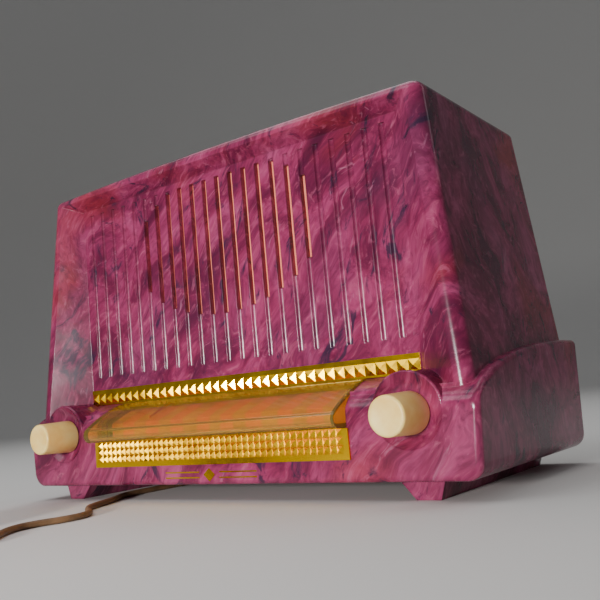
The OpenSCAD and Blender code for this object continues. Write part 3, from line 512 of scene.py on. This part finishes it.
# ---------------------------------------------------------------- materials
class Nodes:
    """A small builder for one material's node tree."""

    def __init__(self, name):
        self.material = bpy.data.materials.new(name)
        self.material.use_nodes = True
        self.tree = self.material.node_tree
        self.bsdf = self.tree.nodes["Principled BSDF"]
        self.place = self.add("ShaderNodeTexCoord").outputs["Object"]

    def add(self, kind, inputs=(), **props):
        node = self.tree.nodes.new(kind)
        for key, value in props.items():
            setattr(node, key, value)
        for key, value in dict(inputs).items():
            self.feed(node.inputs[key], value)
        return node

    def feed(self, socket, value):
        if isinstance(value, bpy.types.NodeSocket):
            self.tree.links.new(value, socket)
        else:
            socket.default_value = value

    def set(self, **values):
        """Sets the shader's own sockets, named with underscores for spaces."""
        for key, value in values.items():
            self.feed(self.bsdf.inputs[key.replace("_", " ")], value)

    def squeeze(self, scale):
        """Coordinates multiplied along the three axes."""
        return self.add("ShaderNodeMapping", {"Vector": self.place, "Scale": scale}).outputs[0]

    def along(self, length, turn, source):
        """Coordinates stretched along the upright axis, which is first turned by the given angles."""
        inputs = {"Vector": source, "Rotation": turn, "Scale": (1.0, 1.0, length)}
        return self.add("ShaderNodeMapping", inputs, vector_type="TEXTURE").outputs[0]

    def noise(self, scale, source=None, detail=3.0, rough=0.55, distortion=0.0, output="Fac"):
        inputs = {
            "Vector": source or self.place, "Scale": scale, "Detail": detail, "Roughness": rough,
            "Distortion": distortion,
        }
        return self.add("ShaderNodeTexNoise", inputs).outputs[output]

    def wave(self, scale, axis, distortion, detail_scale=1.0):
        inputs = {
            "Vector": self.place, "Scale": scale, "Distortion": distortion, "Detail Scale": detail_scale,
        }
        return self.add("ShaderNodeTexWave", inputs, bands_direction=axis).outputs["Fac"]

    def ramp(self, value, stops):
        """Colours at (position, colour) stops."""
        node = self.add("ShaderNodeValToRGB", {"Fac": value})
        elements = node.color_ramp.elements
        elements[0].position, elements[1].position = stops[0][0], stops[-1][0]
        elements[0].color, elements[1].color = (*stops[0][1], 1), (*stops[-1][1], 1)
        for position, colour in stops[1:-1]:
            elements.new(position).color = (*colour, 1)
        return node.outputs["Color"]

    def remap(self, value, low, high, to_low, to_high):
        inputs = {"Value": value, "From Min": low, "From Max": high, "To Min": to_low, "To Max": to_high}
        return self.add("ShaderNodeMapRange", inputs).outputs[0]

    def calculate(self, operation, a, b):
        return self.add("ShaderNodeMath", {0: a, 1: b}, operation=operation).outputs[0]

    def layer(self, below, colour, mask, bare, full, amount):
        """A colour laid over another where the mask goes from bare to full."""
        node = self.add("ShaderNodeMix", data_type="RGBA")
        self.feed(node.inputs["Factor"], self.remap(mask, bare, full, 0.0, amount))
        first, second = (socket for socket in node.inputs if socket.type == "RGBA")
        self.feed(first, below)
        self.feed(second, (*colour, 1))
        return next(socket for socket in node.outputs if socket.type == "RGBA")

    def warp(self, source, amount, scale):
        """Coordinates pushed about by coloured noise."""
        cloud = self.noise(scale, source, detail=2.0, output="Color")
        push = self.add("ShaderNodeVectorMath", {0: cloud, 1: (0.5, 0.5, 0.5)}, operation="SUBTRACT")
        push = self.add("ShaderNodeVectorMath", {0: push.outputs[0], "Scale": amount}, operation="SCALE")
        return self.add("ShaderNodeVectorMath", {0: source, 1: push.outputs[0]}, operation="ADD").outputs[0]

    def bump(self, height, strength, distance, normal=None):
        inputs = {"Height": height, "Strength": strength, "Distance": distance}
        if normal is not None:
            inputs["Normal"] = normal
        return self.add("ShaderNodeBump", inputs).outputs[0]

    def round_edges(self, radius):
        return self.add("ShaderNodeBevel", {"Radius": radius}, samples=6).outputs[0]


def marbled_moulding():
    """Rose and plum clouds drawn out along a curving grain, with slate streaks and pale wisps."""
    m = Nodes("marbled_moulding")
    flow = m.warp(m.warp(m.place, 0.060, 7.0), 0.016, 28.0)
    lean, steep = (0.25, 0.72, 0.0), (-0.2, 0.50, 0.1)
    clouds = m.noise(42.0, m.along(2.6, lean, flow), detail=5.0, rough=0.60, distortion=0.7)
    patches = m.noise(12.0, m.along(1.6, lean, flow), detail=3.0, rough=0.5, distortion=0.5)
    feather = m.noise(230.0, m.along(8.0, lean, flow), detail=6.0, rough=0.66, distortion=0.9)
    slate = m.noise(75.0, m.along(3.4, steep, flow), detail=5.0, rough=0.62, distortion=1.1)
    wisps = m.noise(110.0, m.along(5.5, steep, flow), detail=5.0, rough=0.62, distortion=1.5)
    colour = m.ramp(clouds, [
        (0.30, (0.052, 0.006, 0.026)), (0.42, (0.130, 0.012, 0.044)), (0.50, (0.210, 0.022, 0.073)),
        (0.60, (0.285, 0.038, 0.110)), (0.72, (0.350, 0.066, 0.155)),
    ])
    brick, dusk, crease = (0.330, 0.030, 0.030), (0.075, 0.020, 0.055), (0.075, 0.008, 0.030)
    pink, slate_blue, mist = (0.430, 0.100, 0.185), (0.022, 0.013, 0.034), (0.400, 0.150, 0.240)
    colour = m.layer(colour, brick, patches, 0.56, 0.70, 0.65)
    colour = m.layer(colour, dusk, patches, 0.44, 0.30, 0.60)
    colour = m.layer(colour, crease, feather, 0.52, 0.34, 0.62)
    colour = m.layer(colour, pink, feather, 0.55, 0.70, 0.55)
    colour = m.layer(colour, slate_blue, slate, 0.585, 0.665, 0.86)
    colour = m.layer(colour, mist, wisps, 0.64, 0.72, 0.5)
    haze = m.noise(60.0, detail=4.0)
    relief = m.bump(m.noise(420.0), 0.03, 0.0003, m.bump(haze, 0.05, 0.001, m.round_edges(0.0009)))
    m.set(
        Base_Color=colour, Roughness=m.remap(haze, 0.3, 0.75, 0.16, 0.26), IOR=1.50,
        Specular_IOR_Level=0.36, Subsurface_Weight=0.05, Subsurface_Radius=(0.003, 0.0008, 0.0010),
        Subsurface_Scale=1.0, Normal=relief,
    )
    return m.material


def mottled(name, light, dark, scale, rough, metallic=0.0, relief=0.1, squeeze=None):
    """A surface with mottled colour, uneven gloss and fine relief."""
    m = Nodes(name)
    place = m.squeeze(squeeze) if squeeze else m.place
    mottle = m.noise(scale, place, detail=4.0, rough=0.6)
    m.set(
        Base_Color=m.ramp(mottle, [(0.30, dark), (0.62, light)]), Metallic=metallic, IOR=1.45,
        Roughness=m.remap(mottle, 0.3, 0.7, *rough), Normal=m.bump(m.noise(scale * 6, place), relief, 0.0003),
    )
    return m.material


def glassy(name, tint, rough, ior, clear=1.0):
    """A clear body with a faint, uneven haze; clear is the share of light that goes through."""
    m = Nodes(name)
    haze = m.noise(90.0, detail=4.0)
    m.set(
        Base_Color=(*tint, 1), Roughness=m.remap(haze, 0.35, 0.8, rough, rough + 0.06), IOR=ior,
        Transmission_Weight=clear, Normal=m.bump(haze, 0.04, 0.0004),
    )
    return m.material


def woven(name, light, dark, pitch):
    """Cloth: two crossing sets of threads, with the given distance from thread to thread."""
    m = Nodes(name)
    scale = 0.1 * math.pi / pitch
    threads = m.calculate("MAXIMUM", m.wave(scale, "X", 0.6), m.wave(scale, "Z", 0.6))
    slub = m.noise(260.0, m.squeeze((1, 1, 0.2)))
    shading = m.calculate("MULTIPLY", threads, m.remap(slub, 0.3, 0.7, 0.65, 1.0))
    m.set(
        Base_Color=m.ramp(shading, [(0.25, dark), (0.85, light)]), Roughness=0.86, Sheen_Weight=0.3,
        Normal=m.bump(threads, 0.6, 0.0003),
    )
    return m.material


def dial_face():
    """A gold ground with a row of blurred orange blocks."""
    m = Nodes("dial_face")
    blocks = m.wave(16.5, "X", 2.2, detail_scale=1.4)
    mottle = m.noise(70.0, detail=4.0)
    ground = m.ramp(mottle, [(0.32, (0.55, 0.22, 0.0)), (0.64, (0.80, 0.40, 0.0))])
    m.set(
        Base_Color=m.layer(ground, (1.0, 0.20, 0.0), blocks, 0.35, 0.60, 0.85),
        Roughness=m.remap(mottle, 0.3, 0.7, 0.40, 0.55), Normal=m.bump(m.noise(420.0), 0.05, 0.0003),
    )
    return m.material


def ivory():
    m = Nodes("ivory_knob")
    mottle = m.noise(70.0, detail=4.0)
    m.set(
        Base_Color=m.ramp(mottle, [(0.32, (0.88, 0.56, 0.15)), (0.60, (0.97, 0.72, 0.26))]),
        Roughness=m.remap(mottle, 0.3, 0.7, 0.30, 0.44), IOR=1.5, Subsurface_Weight=0.25,
        Subsurface_Radius=(0.004, 0.0028, 0.0015), Subsurface_Scale=1.0,
        Normal=m.bump(m.noise(500.0), 0.04, 0.0003, m.round_edges(0.0004)),
    )
    return m.material


# name, light and dark colour, scale of the mottle, least and most roughness, metallic, relief, squeeze
MOTTLED = [
    ("gold_trim", (1.0, 0.61, 0.0), (0.98, 0.52, 0.0), 120, (0.14, 0.26), 1.0, 0.05),
    ("steel", (0.52, 0.53, 0.55), (0.33, 0.33, 0.34), 160, (0.25, 0.42), 1.0, 0.12),
    ("brass", (0.72, 0.50, 0.20), (0.46, 0.30, 0.12), 140, (0.25, 0.45), 1.0),
    ("control_can", (0.30, 0.26, 0.19), (0.18, 0.15, 0.11), 120, (0.45, 0.6), 0.6),
    ("plated_chassis", (0.52, 0.51, 0.48), (0.30, 0.29, 0.26), 40, (0.35, 0.6), 0.9),
    ("black_rubber", (0.03, 0.03, 0.03), (0.015, 0.015, 0.015), 200, (0.55, 0.75), 0.0, 0.2),
    ("capacitor_metal", (0.66, 0.67, 0.68), (0.44, 0.44, 0.45), 90, (0.3, 0.5), 1.0),
    ("drive_string", (0.12, 0.08, 0.05), (0.05, 0.035, 0.02), 900, (0.7, 0.9), 0.0, 0.5),
    ("pointer_red", (0.52, 0.02, 0.015), (0.36, 0.012, 0.01), 150, (0.25, 0.4)),
    ("dark_paper", (0.10, 0.075, 0.06), (0.05, 0.04, 0.03), 300, (0.8, 0.95), 0.0, 0.4),
    ("black_metal", (0.025, 0.025, 0.028), (0.012, 0.012, 0.014), 120, (0.35, 0.55)),
    ("cone_paper", (0.045, 0.038, 0.035), (0.02, 0.018, 0.016), 350, (0.85, 0.95), 0.0, 0.5),
    ("copper_winding", (0.58, 0.22, 0.09), (0.36, 0.12, 0.05), 220, (0.3, 0.45), 0.8, 0.3, (1, 1, 5)),
    ("dark_insulator", (0.050, 0.024, 0.014), (0.025, 0.012, 0.008), 150, (0.3, 0.45)),
    ("tube_metal", (0.10, 0.10, 0.11), (0.05, 0.05, 0.055), 200, (0.5, 0.65), 0.5),
    ("waxed_paper", (0.55, 0.38, 0.16), (0.38, 0.24, 0.09), 120, (0.4, 0.6)),
    ("brown_card", (0.15, 0.080, 0.040), (0.09, 0.045, 0.022), 240, (0.7, 0.85), 0.0, 0.4),
    ("brown_cord", (0.20, 0.11, 0.050), (0.11, 0.060, 0.028), 150, (0.42, 0.6), 0.0, 0.12),
]
materials = {row[0]: mottled(*row) for row in MOTTLED}
materials |= {
    "marbled_moulding": marbled_moulding(),
    "grille_cloth": woven("grille_cloth", (1.0, 0.27, 0.18), (0.72, 0.14, 0.09), 0.0009),
    "amber_lens": glassy("amber_lens", (1.0, 0.72, 0.17), 0.03, 1.40, clear=0.92),
    "clear_glass": glassy("clear_glass", (0.93, 0.97, 0.98), 0.02, 1.5),
    "dial_face": dial_face(),
    "ivory_knob": ivory(),
}


def paint(obj, material_slot):
    obj.data.materials.clear()
    obj.data.materials.append(materials[material_slot])


def dress(obj, material_slot, body, *stands_for):
    """Paints a visible piece, puts it on its body and shows it in place of CAD nodes."""
    paint(obj, material_slot)
    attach(obj, body)
    if stands_for:
        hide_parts(*stands_for)


# every node is painted from its slot in the record; the trim strips' pyramids keep sharp edges
for subpart in frame["record"]["subparts"]:
    paint(nodes[subpart["node"]], subpart["material_slot"])
    shade(nodes[subpart["node"]], 4 if "trim_strip" in subpart["node"] else 32)


# ---------------------------------------------------------------- cord and its tie
def make_tie():
    """A band round the coil's cross-section, on the coil's left side."""
    inner, outer, low, high = 13.4, 24.6, 0.15, 14.55
    corner_r, thickness, half_width = 1.8, 0.35, 2.6
    mid_x, mid_z = (inner + outer) / 2, (low + high) / 2
    left, right, bottom, top = inner + corner_r, outer - corner_r, low + corner_r, high - corner_r
    section = arc(right, top, corner_r, 90, 0, 6) + arc(right, bottom, corner_r, 0, -90, 6)
    section += arc(left, bottom, corner_r, -90, -180, 6) + arc(left, top, corner_r, 180, 90, 6)

    def ring(depth, side):
        """The band's outline on one side, at a depth under its outer face."""
        points = []
        for x, z in section:
            length = math.hypot(x - mid_x, z - mid_z)
            px, pz = x - depth * (x - mid_x) / length, z - depth * (z - mid_z) / length
            points.append(at(COIL_X - px, COIL_D + side, pz))
        return points

    near = [ring(thickness, half_width), ring(0, half_width)]
    far = [ring(0, -half_width), ring(thickness, -half_width)]
    return mesh_object("cord_tie", *loft(near + far, closed=True), angle=50)


tie = make_tie()
dress(tie, "black_rubber", "radio")
dress(cord, "brown_cord", "radio", "mains_cord", "cord_coil")


# ---------------------------------------------------------------- visible pieces
def make_knob(name, x, body, stands_for):
    """A plain round knob: a slightly domed face, a rounded rim and a bore from behind."""
    face, root, rim_r, bore_r = -KNOB_REACH, 3.6, 1.2, 3.22
    profile = [(0, face + 0.75), (2.5, face + 0.66), (4.6, face + 0.44), (6.2, face + 0.18), (7.2, face)]
    profile += arc(7.7, face + rim_r, rim_r, -90, -4, 10)
    profile += [(9.25, -6), (9.6, root - 0.6), (9.5, root - 0.15), (9.1, root)]
    profile += [(bore_r, root), (bore_r, face + 6), (0, face + 6)]
    obj = mesh_object(name, *lathe_y(profile, x, KNOB_Z, 128), angle=40)
    dress(obj, "ivory_knob", body, stands_for)


def lens_outline(inset):
    """The lens's bent front in depth and height: a long shallow arc, then a round nose."""
    long_r, nose_r, steps = 90.0, 4.5, 20
    tilt, turn = math.radians(14), math.radians(35)
    long_d, long_z = 21.6 + long_r * math.sin(tilt), 55.7 - long_r * math.cos(tilt)
    nose_d, nose_z = long_d - (long_r - nose_r) * math.sin(turn), long_z + (long_r - nose_r) * math.cos(turn)
    # the hollow's arc reaches further back than the outer one, so that it opens there
    start = 102.5 if inset else 104
    shallow = arc(long_d, long_z, long_r - inset, start, 125, steps)
    return shallow + arc(nose_d, nose_z, nose_r - inset, 125, 270, steps)


def make_lens():
    outer, inner = lens_outline(0), lens_outline(LENS_WALL)
    low = outer[-1][1]
    back = [(6.5, low), (6.5, 44), (21.6, 50.5)]
    hollow = inner + [(30, low + LENS_WALL), (30, 60)]
    obj = mesh_object("dial_lens_clear", *across(outer + back, -LENS_HALF, LENS_HALF))
    end = LENS_HALF - 2.5
    boolean(obj, [mesh_object("lens_hollow", *across(hollow, -end, end))], "DIFFERENCE")
    shade(obj, 30)
    dress(obj, "amber_lens", "radio", "dial_lens")


def make_cloth():
    """A stretched sheet with a slight unevenness, behind the slots."""
    low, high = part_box("grille_cloth")
    columns, rows, mid = 84, 46, (low.y + high.y) / 2
    width, height, sway = high.x - low.x, high.z - low.z, 0.0001
    verts = []
    for j in range(rows + 1):
        for i in range(columns + 1):
            x, z = low.x + width * i / columns, low.z + height * j / rows
            verts.append((x, mid + sway * math.sin(x * 190 + z * 60) * math.sin(z * 150), z))
    corners = [j * (columns + 1) + i for j in range(rows) for i in range(columns)]
    mesh = bpy.data.meshes.new("grille_cloth_woven")
    mesh.from_pydata(verts, [], [(k, k + 1, k + columns + 2, k + columns + 1) for k in corners])
    mesh.shade_smooth()
    obj = link(bpy.data.objects.new("grille_cloth_woven", mesh))
    thick = obj.modifiers.new("thickness", "SOLIDIFY")
    thick.thickness = 0.0003
    thick.offset = 0
    dress(obj, "grille_cloth", "radio", "grille_cloth")


cabinet = make_cabinet()
dress(cabinet, "marbled_moulding", "radio", "cabinet")
make_knob("tuning_knob_ivory", KNOB_X, "tuning_spindle", "tuning_knob")
make_knob("volume_knob_ivory", -KNOB_X, "volume_spindle", "volume_knob")
make_lens()
make_cloth()


# ---------------------------------------------------------------- stage and light
def make_stage():
    """A pale floor that curves up into a round wall, open at the top."""
    flat_r, curve_r, wall_top, turns = 2.6, 1.2, 3.0, 96
    profile = [(0.02, 0.0), (1.5, 0.0), (flat_r, 0.0)] + arc(flat_r, curve_r, curve_r, -90, 0, 24)
    profile.append((flat_r + curve_r, wall_top))
    n = len(profile)
    verts, faces = [], []
    for k in range(turns):
        a, here, there = 2 * math.pi * k / turns, k * n, (k + 1) % turns * n
        verts += [(r * math.cos(a), r * math.sin(a), z) for r, z in profile]
        faces += [(here + i, here + i + 1, there + i + 1, there + i) for i in range(n - 1)]
    faces.append(tuple(k * n for k in range(turns)))
    mesh = bpy.data.meshes.new("studio_floor")
    mesh.from_pydata(verts, [], faces)
    mesh.shade_smooth()
    obj = link(bpy.data.objects.new("studio_floor", mesh))
    m = Nodes("studio_floor")
    m.set(Base_Color=(0.72, 0.71, 0.69, 1), Roughness=0.85)
    obj.data.materials.append(m.material)


def area_light(name, place, target, size, watts, colour=(1, 1, 1), spread=180):
    """A soft box at a place, facing a target; spread is the angle in degrees that it lights."""
    data = bpy.data.lights.new(name, "AREA")
    data.shape = "RECTANGLE"
    data.size, data.size_y = size
    data.energy = watts
    data.color = colour
    data.spread = math.radians(spread)
    obj = link(bpy.data.objects.new(name, data))
    aim = (Vector(target) - Vector(place)).to_track_quat("-Z", "Y")
    obj.matrix_world = Matrix.Translation(place) @ aim.to_matrix().to_4x4()


def make_world():
    world = bpy.data.worlds.new("World")
    SCENE.world = world
    world.use_nodes = True
    background = world.node_tree.nodes["Background"].inputs
    background["Color"].default_value = (0.86, 0.88, 0.92, 1)
    background["Strength"].default_value = 0.24


make_stage()
area_light("key", (0.13, -0.92, 0.12), (0, -0.02, 0.09), (0.10, 0.08), 2.05, (1.0, 0.985, 0.96), 80)
area_light("fill", (-0.55, -0.8, 1.25), (0, 0, 0.08), (0.8, 0.6), 4.5, (0.97, 0.98, 1.0))
area_light("rim", (0.9, 0.6, 0.85), (0.1, 0, 0.1), (0.3, 0.5), 0.5)
area_light("top", (-0.3, 0.25, 1.4), (0, 0.05, 0), (1.2, 1.2), 7.5)
make_world()
